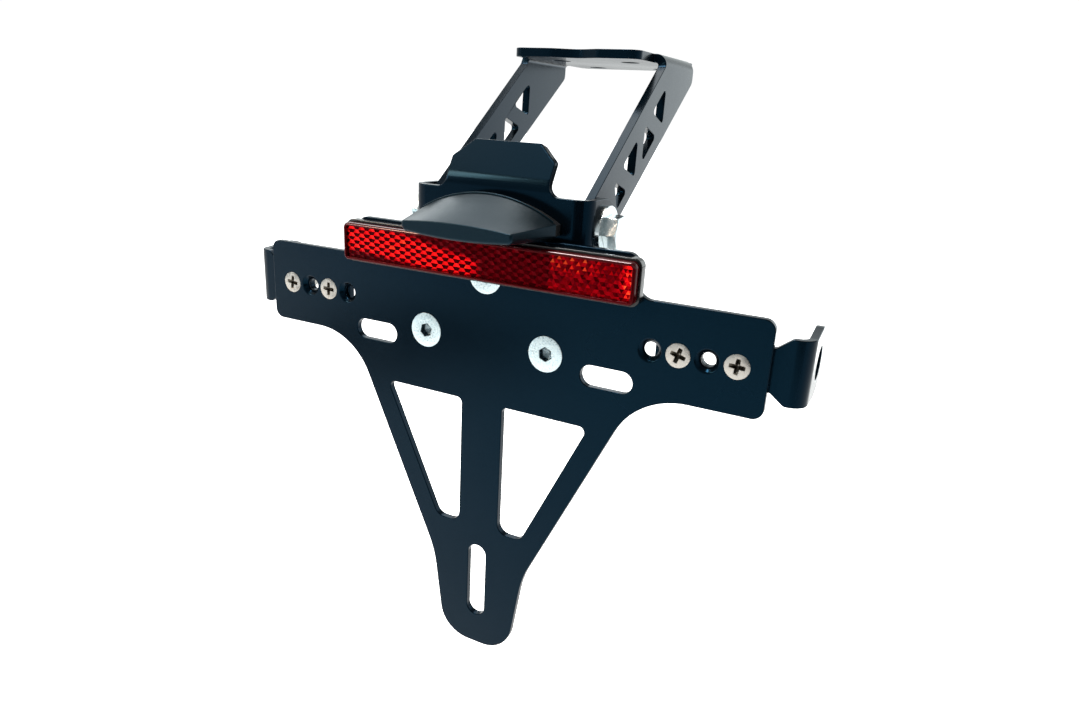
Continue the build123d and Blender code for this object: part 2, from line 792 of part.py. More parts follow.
def build_parts():
    right_bracket = indicator_bracket()
    side_screws = side_screw_places()
    carrier_screws = carrier_screw_places()
    sides = (-1, 1)
    return {
        "tail_bracket": tail_bracket(),
        "pivot_bracket": pivot_bracket(),
        "pivot_bolts": group([pivot_bolt(side) for side in sides]),
        "pivot_washers": group([washer for side in sides for washer in pivot_washers(side)]),
        "pivot_nuts": group([pivot_nut(side) for side in sides]),
        "number_plate_carrier": number_plate_carrier(),
        "carrier_screws": group([carrier_screw(x, z) for x, z in carrier_screws]),
        "carrier_spacers": group([carrier_spacer(x, z) for x, z in carrier_screws]),
        "carrier_nuts": group([carrier_nut(x, z) for x, z in carrier_screws]),
        "indicator_bracket_right": right_bracket,
        "indicator_bracket_left": mirror(right_bracket, about=Plane.YZ),
        "indicator_screws": group([indicator_screw(x) for x in side_screws]),
        "indicator_washers": group([indicator_washer(x) for x in side_screws]),
        "indicator_nuts": group([indicator_nut(x) for x in side_screws]),
        "reflector_housing": reflector_housing(),
        "reflector_lens": reflector_lens(),
        "reflector_washers": group([stud_washer(x) for x in (-stud_x, stud_x)]),
        "reflector_nuts": group([stud_nut(x) for x in (-stud_x, stud_x)]),
        "plate_light_shell": plate_light_shell(),
        "plate_light_gasket": plate_light_gasket(),
        "plate_light_lens": plate_light_lens(),
        "plate_light_board": plate_light_board(),
        "plate_light_screws": group([light_screw(side) for side in sides]),
    }


os.makedirs("parts", exist_ok=True)
for node, shape in build_parts().items():
    export_step(shape, f"parts/{node}.step")
    print(node, len(shape.solids()), "solids", round(shape.volume), "cubic millimetres")
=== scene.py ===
# %% [markdown]
# # A tail tidy in dark powder coat
# A tail tidy hangs the number plate behind a motorbike. Folded sheet brackets carry a
# red reflector, a small plate light and two ears for the indicators, and one pair of
# bolts lets the whole holder tilt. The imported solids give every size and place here;
# this lesson dresses them. Each piece that is remade takes its place from the solid
# that it stands for, so the dressed part still moves as the solids do.

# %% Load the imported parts
import json
import math

import bmesh
import bpy
from mathutils import Matrix, Vector
from mathutils.bvhtree import BVHTree


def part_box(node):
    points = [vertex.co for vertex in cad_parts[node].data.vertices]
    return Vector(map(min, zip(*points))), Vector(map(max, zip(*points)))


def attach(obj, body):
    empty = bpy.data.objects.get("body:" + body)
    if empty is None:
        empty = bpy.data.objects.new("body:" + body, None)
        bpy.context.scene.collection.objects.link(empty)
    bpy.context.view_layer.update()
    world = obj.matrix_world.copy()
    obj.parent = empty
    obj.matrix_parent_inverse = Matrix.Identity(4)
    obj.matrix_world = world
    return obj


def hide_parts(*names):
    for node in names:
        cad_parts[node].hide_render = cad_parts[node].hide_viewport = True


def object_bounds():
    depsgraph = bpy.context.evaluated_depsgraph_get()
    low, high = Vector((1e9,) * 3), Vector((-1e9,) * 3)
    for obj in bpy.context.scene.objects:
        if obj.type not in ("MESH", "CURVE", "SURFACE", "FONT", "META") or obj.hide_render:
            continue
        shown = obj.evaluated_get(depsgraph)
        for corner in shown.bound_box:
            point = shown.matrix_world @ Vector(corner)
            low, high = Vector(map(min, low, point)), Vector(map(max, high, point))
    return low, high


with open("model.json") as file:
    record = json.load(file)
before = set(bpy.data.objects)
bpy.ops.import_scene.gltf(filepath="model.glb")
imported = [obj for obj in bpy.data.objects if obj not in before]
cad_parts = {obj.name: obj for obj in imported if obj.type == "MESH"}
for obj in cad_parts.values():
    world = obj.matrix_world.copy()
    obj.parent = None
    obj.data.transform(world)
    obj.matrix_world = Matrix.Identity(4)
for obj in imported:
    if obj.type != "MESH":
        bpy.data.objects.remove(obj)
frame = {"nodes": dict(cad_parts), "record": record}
parts = frame["nodes"]
cad_box = [list(corner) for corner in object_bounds()]
mm = 0.001
print(len(parts), "packed pieces between", cad_box)

# %% [markdown]
# ## Small helpers
# The same few things are done all through this lesson: putting an object into the scene,
# adding a node and joining it to others, and starting a material from its Principled
# shader. Shader trees and geometry trees take nodes in the same way, so one function
# serves both, and the cells after this show only what is particular to them.

# %% Helpers for objects, nodes and materials
scene = bpy.context.scene


def plain_object(name, data):
    """New object in the scene, at the origin."""
    piece = bpy.data.objects.new(name, data)
    scene.collection.objects.link(piece)
    return piece


def step(tree, kind, inputs=(), **settings):
    """Node of a kind with its settings, and its inputs linked or set in order of (socket, value)."""
    node = tree.nodes.new(kind)
    for label, value in settings.items():
        setattr(node, label, value)
    for socket, value in inputs:
        if isinstance(value, bpy.types.NodeSocket):
            tree.links.new(value, node.inputs[socket])
        else:
            node.inputs[socket].default_value = value
    return node


def maths(tree, operation, first, second=None):
    """Output of a Math node on links or numbers."""
    values = [(i, v) for i, v in enumerate((first, second)) if v is not None]
    return step(tree, "ShaderNodeMath", values, operation=operation).outputs[0]


def spread(tree, value, start, end, from_value, to_value, curve="LINEAR"):
    """Output of a Map Range node, which takes a value from one range to another."""
    return step(tree, "ShaderNodeMapRange", [
        ("Value", value), ("From Min", start), ("From Max", end),
        ("To Min", from_value), ("To Max", to_value)], interpolation_type=curve).outputs["Result"]


def mixed(tree, factor, first, second, kind="RGBA"):
    """Output of a Mix node between two colours, or between two numbers for the kind FLOAT."""
    return step(tree, "ShaderNodeMix", [("Factor", factor), ("A", first), ("B", second)],
                data_type=kind).outputs["Result"]


def new_material(name, constants):
    """Material with one Principled shader, on which the constants are set, and that shader."""
    material = bpy.data.materials.new(name)
    material.use_nodes = True
    shader = material.node_tree.nodes["Principled BSDF"]
    for label, value in constants.items():
        shader.inputs[label].default_value = value
    return material, shader


print("six helpers")

# %% [markdown]
# ## The camera
# The picture was taken from above right, close to the part, so the left wing looks
# smaller than the right one. A camera can be aimed with a target or placed by a matrix.
# A matrix is used, because its three columns can be read straight off a solved view:
# the picture's right, the picture's up, and the way back to the photographer.

# %% Place the camera
studio_camera = bpy.data.cameras.new("studio_camera")
studio_camera.sensor_fit = "HORIZONTAL"
studio_camera.sensor_width = 36.0
studio_camera.lens = 25.304
studio_camera.clip_start = 0.005
studio_camera.clip_end = 30.0
camera = plain_object("studio_camera", studio_camera)
picture_right = Vector((0.889823, 0.453218, 0.052988))
picture_up = Vector((-0.187284, 0.256852, 0.948131))
towards_camera = Vector((0.4161, -0.853592, 0.313434))
camera_place = Vector((0.120812, -0.204771, 0.07705))
turn = Matrix((picture_right, picture_up, towards_camera)).transposed().to_4x4()
camera.matrix_world = Matrix.Translation(camera_place) @ turn
scene.camera = camera
print("camera at", [round(v, 4) for v in camera_place])

# %% [markdown]
# ## Floor and light
# A dark satin part shows its shape by what it mirrors, so the room matters more than
# the lamps: a white wall behind, a dim ceiling, and a few soft panels that draw brighter
# streaks on the arms, the light's hood and the edges. An evenly white room would make
# every metal look like chalk. The floor is a white light table a little below the part,
# which really hangs from the bike, and it is wide enough to run out of sight. It glows a
# little less in front, where the middle of the carrier mirrors it.

# %% Lay the light table
scene.view_settings.view_transform = "Standard"
scene.view_settings.look = "None"
floor_reach = 8.0
floor_z = cad_box[0][2] - 0.09
floor_corners = [(-1, -1), (1, -1), (1, 1), (-1, 1)]
floor_mesh = bpy.data.meshes.new("studio_floor")
floor_points = [(x * floor_reach, y * floor_reach, floor_z) for x, y in floor_corners]
floor_mesh.from_pydata(floor_points, [], [(0, 1, 2, 3)])
floor = plain_object("studio_floor", floor_mesh)

white_tone, shade_tone = (0.99, 0.99, 0.99, 1), (0.12, 0.14, 0.16, 1)
shade_place, shade_inside, shade_outside = (-0.42, -0.55, floor_z), 0.04, 0.26
glow_strength = 0.54
paper, paper_shader = new_material("white_paper", {
    "Roughness": 0.9, "Specular IOR Level": 0.1, "Emission Color": (1, 1, 1, 1)})
tree = paper.node_tree
on_floor = step(tree, "ShaderNodeTexCoord").outputs["Object"]
from_shade = step(tree, "ShaderNodeVectorMath", [(0, on_floor), (1, shade_place)], operation="DISTANCE")
lit = spread(tree, from_shade.outputs["Value"], shade_inside, shade_outside, 0.0, 1.0, "SMOOTHSTEP")
seen_directly = step(tree, "ShaderNodeLightPath").outputs["Is Camera Ray"]
table_glow = step(tree, "ShaderNodeMath", [(0, lit), (1, glow_strength), (2, seen_directly)],
                  operation="MULTIPLY_ADD")
tree.links.new(mixed(tree, lit, shade_tone, white_tone), paper_shader.inputs["Base Color"])
tree.links.new(table_glow.outputs["Value"], paper_shader.inputs["Emission Strength"])
floor_mesh.materials.append(paper)
print("light table at", round(floor_z, 4))

# %% Paint the room's walls
room = bpy.data.worlds.new("white_room")
room.use_nodes = True
tree = room.node_tree
direction = step(tree, "ShaderNodeTexCoord").outputs["Generated"]
axes = step(tree, "ShaderNodeSeparateXYZ", [("Vector", direction)])
dim_ceiling = spread(tree, axes.outputs["Z"], 0.22, 0.80, 1.0, 0.22, "SMOOTHSTEP")
dim_front = spread(tree, axes.outputs["Y"], -0.75, 0.25, 0.50, 1.0, "SMOOTHSTEP")
wall_light = maths(tree, "MULTIPLY", dim_ceiling, dim_front)
light_to_eye, white_to_eye, cool_white = 1.03, (1, 1, 1, 1), (0.93, 1.0, 1.0, 1)
seen_directly = step(tree, "ShaderNodeLightPath").outputs["Is Camera Ray"]
walls = tree.nodes["Background"]
tree.links.new(mixed(tree, seen_directly, wall_light, light_to_eye, "FLOAT"), walls.inputs["Strength"])
tree.links.new(mixed(tree, seen_directly, cool_white, white_to_eye), walls.inputs["Color"])
scene.world = room
print("room", room.name)


# %% [markdown]
# ## Panels and a black flag
# Each soft panel is hung where one surface mirrors it: behind for the arms and the
# light's top, low behind for the indicator ear, high in front for the hood's fold. The
# flag is the opposite, a black card beside the camera. The bracket's upright folds mirror
# it as a dark stripe, and that stripe is what makes a fold look round.

# %% Hang the panels
cool, warm, warmer, amber = (0.95, 1.0, 1.0), (1.0, 0.92, 0.82), (1.0, 0.90, 0.80), (1.0, 0.72, 0.50)


def soft_panel(name, place, target, width, height, watts, colour=cool):
    """Rectangular studio panel that faces a target and isn't seen itself."""
    light = bpy.data.lights.new(name, "AREA")
    light.color = colour
    light.shape = "RECTANGLE"
    light.size = width
    light.size_y = height
    light.energy = watts
    panel = plain_object(name, light)
    panel.location = place
    panel.rotation_euler = (Vector(target) - Vector(place)).to_track_quat("-Z", "Y").to_euler()
    panel.visible_camera = False


soft_panel("panel_behind_left", (-0.38, 0.58, 0.52), (0, -0.01, 0.045), 0.56, 0.55, 2.2)
soft_panel("panel_behind_right", (0.42, 0.75, 0.22), (0.03, 0.06, 0.07), 0.50, 0.50, 0.9)
soft_panel("panel_front_left", (-1.10, -0.90, 0.45), (-0.85, -0.80, -0.20), 0.50, 0.40, 5.0)
soft_panel("panel_front_high", (-0.69, -0.74, 0.64), (-0.018, 0.014, 0.060), 0.24, 0.30, 5.8, amber)
soft_panel("panel_front_above", (-0.47, -0.43, 0.835), (0, 0.013, 0.075), 0.55, 0.30, 1.1, warm)
soft_panel("panel_top", (-0.25, -0.18, 0.78), (0.01, 0, 0.04), 0.36, 0.10, 5.0)
soft_panel("panel_overhead", (-0.17, 0.22, 0.74), (0.03, 0.05, 0.07), 0.30, 0.30, 1.7, warmer)
soft_panel("panel_low_behind", (0.166, 0.757, -0.19), (0.10, 0.018, 0.012), 0.25, 0.35, 0.7)

# %% Set the flag
flag_left, flag_right = Vector((0.03, -0.78, 0)), Vector((0.66, -0.42, 0))
flag_low, flag_high = -0.16, 0.06
flag_corners = [(flag_left, flag_low), (flag_right, flag_low),
                (flag_right, flag_high), (flag_left, flag_high)]
flag_mesh = bpy.data.meshes.new("black_flag")
flag_mesh.from_pydata([(end.x, end.y, z) for end, z in flag_corners], [], [(0, 1, 2, 3)])
flag = plain_object("black_flag", flag_mesh)
flag.visible_camera = False
felt = new_material("black_felt", {"Base Color": (0.002, 0.002, 0.002, 1), "Specular IOR Level": 0.0})[0]
flag_mesh.materials.append(felt)
print("flag", round((flag_right - flag_left).length, 2), "m long")

# %% [markdown]
# ## Grain that several finishes share
# Powder coat, moulded plastic, zinc and rubber all have a fine grain that scatters the
# light, and broad faint patches where they are a little smoother. Painting this on each
# material would repeat the same nodes, so one group holds it and each finish sets its
# own scales. The group puts out plain values only: a height for a Bump node, a
# roughness, and the patch itself for mixing colours.

# %% A group for grain and patches
def new_group(name, inputs, outputs):
    """Empty shader group with named sockets, its entry and its exit."""
    group = bpy.data.node_groups.new(name, "ShaderNodeTree")
    for label, value in inputs.items():
        socket = group.interface.new_socket(name=label, in_out="INPUT", socket_type="NodeSocketFloat")
        socket.default_value = value
    for label in outputs:
        group.interface.new_socket(name=label, in_out="OUTPUT", socket_type="NodeSocketFloat")
    return group, group.nodes.new("NodeGroupInput"), group.nodes.new("NodeGroupOutput")


grain_group, entry, result = new_group(
    "surface_grain",
    {"Grain Scale": 900.0, "Patch Scale": 40.0, "Smoothest": 0.35, "Roughest": 0.5},
    ["Height", "Roughness", "Patch"])
on_piece = step(grain_group, "ShaderNodeTexCoord").outputs["Object"]
grain = step(grain_group, "ShaderNodeTexNoise", [
    ("Vector", on_piece), ("Scale", entry.outputs["Grain Scale"]), ("Detail", 2.0)]).outputs["Fac"]
patch = step(grain_group, "ShaderNodeTexNoise", [
    ("Vector", on_piece), ("Scale", entry.outputs["Patch Scale"]), ("Detail", 3.0)]).outputs["Fac"]
roughness = spread(grain_group, patch, 0.3, 0.7, entry.outputs["Smoothest"], entry.outputs["Roughest"])
for label, value in (("Height", grain), ("Roughness", roughness), ("Patch", patch)):
    grain_group.links.new(value, result.inputs[label])
print("group", grain_group.name, "with", len(grain_group.nodes), "nodes")


# %% [markdown]
# ## A finish from two colours and the grain
# Each finish here is one Principled shader. Its colour wanders between two close tones
# along the patches, its roughness follows the same patches, and the grain tilts the
# surface through a Bump node. Where a piece carries the recess-shade attribute, such as the
# floor of a screw's recess, the colour goes over to a painted shade. Values that
# stay the same all over, such as the metal share, are set on the shader itself.

# %% A helper that makes a grained finish
grain_depth = 0.05 * mm


def grained_finish(name, dark, light, grain, patch, roughness, bump, constants, recess=None):
    """Principled material whose colour, roughness and bump come from the grain group."""
    material, shader = new_material(name, constants)
    tree = material.node_tree
    smoothest, roughest = roughness
    texture = step(tree, "ShaderNodeGroup", [
        ("Grain Scale", grain), ("Patch Scale", patch), ("Smoothest", smoothest), ("Roughest", roughest)],
        node_tree=grain_group)
    colour = mixed(tree, texture.outputs["Patch"], (*dark, 1), (*light, 1))
    # Painted shade in a screw's recess, where the attribute marks it.
    if recess:
        painted_recess_shade = step(tree, "ShaderNodeAttribute", attribute_name="painted_recess_shade")
        colour = mixed(tree, painted_recess_shade.outputs["Fac"], colour, (*recess, 1))
    tilt = step(tree, "ShaderNodeBump", [
        ("Strength", bump), ("Distance", grain_depth), ("Height", texture.outputs["Height"])])
    tree.links.new(colour, shader.inputs["Base Color"])
    tree.links.new(texture.outputs["Roughness"], shader.inputs["Roughness"])
    tree.links.new(tilt.outputs["Normal"], shader.inputs["Normal"])
    return material


print("grain of", grain_depth / mm, "mm on every finish")

# %% [markdown]
# ## Powder coat
# The brackets are laser-cut sheet, folded and sprayed with a blue-black powder that is
# melted on in an oven. It lies like a satin skin with a faint orange peel. Straight on
# it is almost black; at a flat angle it turns grey because it mirrors the white room.
# A tinted specular keeps the straight-on mirror dark and blue and leaves the flat one white.

# %% Dark satin powder coat
powder_coat = grained_finish(
    "powder_coat", (0.0006, 0.0020, 0.0038), (0.0012, 0.0034, 0.0058),
    grain=1500.0, patch=28.0, roughness=(0.15, 0.23), bump=0.06,
    constants={"Specular IOR Level": 0.18, "Specular Tint": (0.10, 0.52, 1.0, 1)})
print("finish", powder_coat.name)

# %% [markdown]
# ## Sheets with broken edges
# A cut sheet never has a razor edge: it is tumbled before coating, and the powder
# rounds it further. That tiny radius is what draws the pale lines along the wings.
# Rounding the solids would cost many faces, so copies of them get a Bevel here, on the
# square edges only, and weighted normals keep the flats flat. The pivot bracket's two
# upright folds are rounder than its solid's, so its copy is first cut with a rounded block.
# Where a bevel has no room it turns slivers over, and those are drawn together afterwards.

# %% Helpers for finished pieces
weld, flat_angle = 0.002 * mm, math.radians(0.3)


def settle(piece):
    """Make the piece's modifiers part of its mesh."""
    depsgraph = bpy.context.evaluated_depsgraph_get()
    mesh = bpy.data.meshes.new_from_object(piece.evaluated_get(depsgraph))
    piece.modifiers.clear()
    piece.data = mesh


def stand_for(piece, part, material):
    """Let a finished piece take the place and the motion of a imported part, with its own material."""
    piece.data.materials.clear()
    piece.data.materials.append(material)
    bodies = frame["record"]["behaviour"]["bodies"]
    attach(piece, next(body for body, nodes in bodies.items() if part in nodes))
    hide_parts(part)


def rounded_block(name, half_width, front_y, radius, reach=0.2, corner_steps=16):
    """Tall block with two round front corners, seen from above."""
    outline = [(half_width, front_y + reach), (-half_width, front_y + reach)]
    for side, first in ((-1, 180), (1, 270)):
        for i in range(corner_steps + 1):
            angle = math.radians(first + 90 * i / corner_steps)
            outline.append((side * (half_width - radius) + radius * math.cos(angle),
                            front_y + radius + radius * math.sin(angle)))
    count = len(outline)
    sides = [(i, (i + 1) % count, count + (i + 1) % count, count + i) for i in range(count)]
    block = bpy.data.meshes.new(name)
    block.from_pydata([(x, y, z) for z in (-reach, reach) for x, y in outline], [],
                      [tuple(range(count))[::-1], tuple(range(count, 2 * count)), *sides])
    return plain_object(name, block)


print("points within", weld / mm, "mm are welded")

# %% Clear turned-over slivers
short_edge, least_area = 1.2 * mm, 0.001 * mm * mm
turned_over, passes = -0.3, 2


def draw_slivers_together(mesh, part):
    """Clear the slivers that a bevel turns over in tight corners.

    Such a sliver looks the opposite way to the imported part's nearest face. Its short
    edges are collapsed; one with none is laid flat along its longest edge.
    """
    source = parts[part].data
    packed = BVHTree.FromPolygons([v.co for v in source.vertices], [p.vertices[:] for p in source.polygons])
    work = bmesh.new()
    work.from_mesh(mesh)
    for _ in range(passes):
        work.normal_update()
        over = [face for face in work.faces if face.calc_area() > least_area
                and face.normal.dot(packed.find_nearest(face.calc_center_median())[1]) < turned_over]
        for face in over:
            if not face.is_valid:
                continue
            short = [edge for edge in face.edges if edge.calc_length() < short_edge]
            if short:
                bmesh.ops.collapse(work, edges=short)
                continue
            start, end = max(face.edges, key=lambda edge: edge.calc_length()).verts
            run = end.co - start.co
            for vertex in face.verts:
                if vertex not in (start, end):
                    vertex.co = start.co + run * ((vertex.co - start.co).dot(run) / run.length_squared)
        bmesh.ops.dissolve_degenerate(work, dist=weld, edges=work.edges)
    work.to_mesh(mesh)
    work.free()


print("slivers with edges under", short_edge / mm, "mm are collapsed")


# %% Round the square edges
def broken_edges(part, radius, steepest=60, inside=None, splits=(), clear=True):
    """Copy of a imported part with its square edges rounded, cut to a block where one is given.

    Splits are places along X where long thin faces are divided, so that the bevel at
    their ends can't turn them over.
    """
    mesh = parts[part].data.copy()
    work = bmesh.new()
    work.from_mesh(mesh)
    bmesh.ops.remove_doubles(work, verts=work.verts, dist=weld)
    bmesh.ops.dissolve_limit(work, angle_limit=flat_angle, verts=work.verts, edges=work.edges)
    for x in splits:
        bmesh.ops.bisect_plane(work, geom=[*work.verts, *work.edges, *work.faces],
                               plane_co=(x, 0, 0), plane_no=(1, 0, 0))
    work.to_mesh(mesh)
    work.free()
    mesh.shade_smooth()
    piece = plain_object(part + "_finished", mesh)
    if inside:
        trim = piece.modifiers.new("trim", "BOOLEAN")
        trim.operation = "INTERSECT"
        trim.object = inside
    bevel = piece.modifiers.new("edge", "BEVEL")
    bevel.limit_method = "ANGLE"
    bevel.angle_limit = math.radians(steepest)
    bevel.width = radius
    bevel.segments = 3
    bevel.use_clamp_overlap = False
    settle(piece)
    if clear:
        draw_slivers_together(piece.data, part)
    normals = piece.modifiers.new("normals", "WEIGHTED_NORMAL")
    normals.keep_sharp = True
    normals.weight = 100
    settle(piece)
    low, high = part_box(part)
    for vertex in piece.data.vertices:
        vertex.co = [min(max(v, a), b) for v, a, b in zip(vertex.co, low, high)]
    print(piece.name, len(piece.data.polygons), "faces")
    return piece


# %% Finish the sheets
sheet_edge, trussed_edge = 0.3 * mm, 0.2 * mm
hood_fold_end = 17.6 * mm
upright_fold_radius, block_clearance = 6.0 * mm, 0.02 * mm
bracket_low, bracket_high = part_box("pivot_bracket")
round_folds = rounded_block("round_folds", bracket_high.x + block_clearance,
                            bracket_low.y - block_clearance, upright_fold_radius)
# The trussed arms' large faces would come apart if their slivers were cleared.
for part, piece in {
    "number_plate_carrier": broken_edges("number_plate_carrier", sheet_edge),
    "pivot_bracket": broken_edges("pivot_bracket", sheet_edge, inside=round_folds,
                                  splits=(-hood_fold_end, hood_fold_end)),
    "tail_bracket": broken_edges("tail_bracket", trussed_edge, clear=False),
    "indicator_bracket_right": broken_edges("indicator_bracket_right", sheet_edge),
    "indicator_bracket_left": broken_edges("indicator_bracket_left", sheet_edge),
}.items():
    stand_for(piece, part, powder_coat)
bpy.data.objects.remove(round_folds)

# %% [markdown]
# ## Bright metals
# The socket screws, washers and pivot bolts are zinc plated: white with a cool cast and
# a frosty grain. The small cross-head screws are stainless steel, a little warmer. Both
# are full metals, so the colour is the tint of the mirror, and the grain breaks up the
# reflections enough that a flat head doesn't turn into a single even patch.

# %% Zinc, stainless steel and turned alloy
metal = {"Metallic": 1.0}
# The recess colours below are painted shade for the screws' recesses.
zinc = grained_finish(
    "zinc_plate", (0.22, 0.34, 0.41), (0.84, 0.96, 0.98),
    grain=2600.0, patch=1500.0, roughness=(0.22, 0.40), bump=0.45, constants=metal,
    recess=(0.030, 0.060, 0.085))
pivot_zinc = grained_finish(
    "bright_zinc_plate", (0.56, 0.64, 0.67), (0.90, 0.95, 0.96),
    grain=2600.0, patch=900.0, roughness=(0.16, 0.28), bump=0.20, constants=metal)
stainless = grained_finish(
    "stainless_steel", (0.32, 0.312, 0.292), (0.49, 0.482, 0.455),
    grain=2200.0, patch=700.0, roughness=(0.22, 0.36), bump=0.25, constants=metal,
    recess=(0.085, 0.075, 0.058))
spacer_alloy = grained_finish(
    "turned_alloy", (0.62, 0.63, 0.65), (0.74, 0.75, 0.76),
    grain=1800.0, patch=200.0, roughness=(0.30, 0.42), bump=0.15, constants=metal)
print("four bright metals")

# %% [markdown]
# ## Plastics and rubber
# The reflector sits in a glossy black tray. The plate light's hood is moulded in a
# matt-etched tool, which leaves a satin grain, and a soft rubber base seals it against
# the bracket. The circuit board inside is white, to throw more light at the plate. Tray
# and hood come out of a mould, which can't make a razor edge either, so both get the
# same narrow bevel as the sheets, and the pale line that it draws.

# %% Plastics, rubber and circuit board
tray_plastic = grained_finish(
    "gloss_black_tray", (0.0030, 0.0034, 0.0040), (0.0055, 0.0060, 0.0068),
    grain=700.0, patch=60.0, roughness=(0.10, 0.18), bump=0.03, constants={"Specular IOR Level": 0.45})
hood_plastic = grained_finish(
    "satin_light_hood", (0.0010, 0.0030, 0.0045), (0.0018, 0.0046, 0.0064),
    grain=2400.0, patch=70.0, roughness=(0.27, 0.36), bump=0.14,
    constants={"Specular IOR Level": 0.27, "Specular Tint": (0.25, 0.65, 1.0, 1)})
base_rubber = grained_finish(
    "soft_rubber", (0.007, 0.007, 0.008), (0.014, 0.014, 0.015),
    grain=2000.0, patch=90.0, roughness=(0.62, 0.80), bump=0.25, constants={"Specular IOR Level": 0.3})
white_board = grained_finish(
    "white_circuit_board", (0.78, 0.78, 0.75), (0.86, 0.86, 0.84),
    grain=1500.0, patch=120.0, roughness=(0.40, 0.55), bump=0.05, constants={"Specular IOR Level": 0.5})
clear_plastic = grained_finish(
    "clear_light_lens", (0.92, 0.94, 0.95), (0.96, 0.97, 0.98),
    grain=900.0, patch=90.0, roughness=(0.05, 0.12), bump=0.03,
    constants={"Transmission Weight": 0.92, "IOR": 1.49})
print("five finishes for the reflector's tray and the plate light")

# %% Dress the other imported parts
for part, material in {
    "pivot_washers": pivot_zinc, "pivot_nuts": pivot_zinc, "carrier_nuts": zinc,
    "reflector_washers": zinc, "reflector_nuts": zinc, "plate_light_screws": zinc,
    "indicator_washers": stainless, "indicator_nuts": stainless, "carrier_spacers": spacer_alloy,
    "plate_light_gasket": base_rubber, "plate_light_board": white_board,
    "plate_light_lens": clear_plastic,
}.items():
    parts[part].data.materials.clear()
    parts[part].data.materials.append(material)
moulded_edge, bolt_edge, bolt_steepest = 0.25 * mm, 0.15 * mm, 40
shell, tray = (broken_edges(part, moulded_edge) for part in ("plate_light_shell", "reflector_housing"))
stand_for(shell, "plate_light_shell", hood_plastic)
stand_for(tray, "reflector_housing", tray_plastic)
stand_for(broken_edges("pivot_bolts", bolt_edge, bolt_steepest), "pivot_bolts", pivot_zinc)
print("packed parts dressed")

# %% [markdown]
# ## Node trees that repeat a piece
# A screw is made once and set down several times, and a reflector is one prism repeated
# hundreds of times. Geometry Nodes suit both: the tree keeps the rule and its inputs the
# sizes. The helpers below start and end a tree, run it over a seed mesh and keep the
# result as a plain mesh, because instances would be lost when the part is exported.

# %% Helpers for node trees
def new_tree(name, inputs):
    """Geometry node tree with a Geometry input, named inputs and one output."""
    tree = bpy.data.node_groups.new(name, "GeometryNodeTree")
    tree.interface.new_socket(name="Geometry", in_out="INPUT", socket_type="NodeSocketGeometry")
    for label, kind in inputs.items():
        tree.interface.new_socket(name=label, in_out="INPUT", socket_type="NodeSocket" + kind)
    tree.interface.new_socket(name="Geometry", in_out="OUTPUT", socket_type="NodeSocketGeometry")
    return tree, tree.nodes.new("NodeGroupInput"), tree.nodes.new("NodeGroupOutput")


def end_tree(tree, copies, material, result):
    """End a tree by making its copies real and giving them their material."""
    real = step(tree, "GeometryNodeRealizeInstances", [("Geometry", copies)])
    coated = step(tree, "GeometryNodeSetMaterial", [
        ("Geometry", real.outputs["Geometry"]), ("Material", material)])
    tree.links.new(coated.outputs["Geometry"], result.inputs["Geometry"])
    print(tree.name, "has", len(tree.nodes), "nodes")


def grow(name, tree, seed_mesh, values):
    """Run a tree over a seed mesh and keep what it makes as a plain mesh."""
    seed = plain_object(name + "_seed", seed_mesh)
    modifier = seed.modifiers.new("tree", "NODES")
    modifier.node_group = tree
    for item in tree.interface.items_tree:
        if item.in_out == "INPUT" and item.name in values:
            modifier[item.identifier] = values[item.name]
    depsgraph = bpy.context.evaluated_depsgraph_get()
    mesh = bpy.data.meshes.new_from_object(seed.evaluated_get(depsgraph))
    bpy.data.objects.remove(seed)
    piece = plain_object(name, mesh)
    print(name, len(mesh.polygons), "faces")
    return piece


def points_mesh(name, points, turns=None):
    """Seed mesh of loose points, each with the turn of what will stand on it."""
    mesh = bpy.data.meshes.new(name)
    mesh.from_pydata(points, [], [])
    turn_of = mesh.attributes.new("turn", "FLOAT", "POINT")
    turn_of.data.foreach_set("value", turns or [0.0] * len(points))
    return mesh


print("trees are kept as plain meshes")

# %% [markdown]
# ## A tree that sets down screws
# Each point of the seed takes one copy of a screw, turned about its own axis by the
# point's turn, since no two screws stop at the same angle. The tree ends by making the
# copies real and giving them their metal.

# %% Tree for screws
screw_tree, entry, result = new_tree("screws_on_points", {"Screw": "Object", "Metal": "Material"})
screw_shape = step(screw_tree, "GeometryNodeObjectInfo", [("Object", entry.outputs["Screw"])])
turn_value = step(screw_tree, "GeometryNodeInputNamedAttribute", [("Name", "turn")], data_type="FLOAT")
turn_about_y = step(screw_tree, "ShaderNodeCombineXYZ", [("Y", turn_value.outputs["Attribute"])])
copies = step(screw_tree, "GeometryNodeInstanceOnPoints", [
    ("Points", entry.outputs["Geometry"]), ("Instance", screw_shape.outputs["Geometry"]),
    ("Rotation", turn_about_y.outputs["Vector"])])
end_tree(screw_tree, copies.outputs["Instances"], entry.outputs["Metal"], result)


# %% [markdown]
# ## Turned screws with their recesses
# A screw head is turned, and its recess is punched in. Both are rings round one axis, so
# one skin over a row of rings makes the whole screw: from the recess's floor up its
# walls, over the face, round the rim and down the cone to the thread's end. The ring of
# a hexagon or a cross is a circle whose radius changes with the angle.

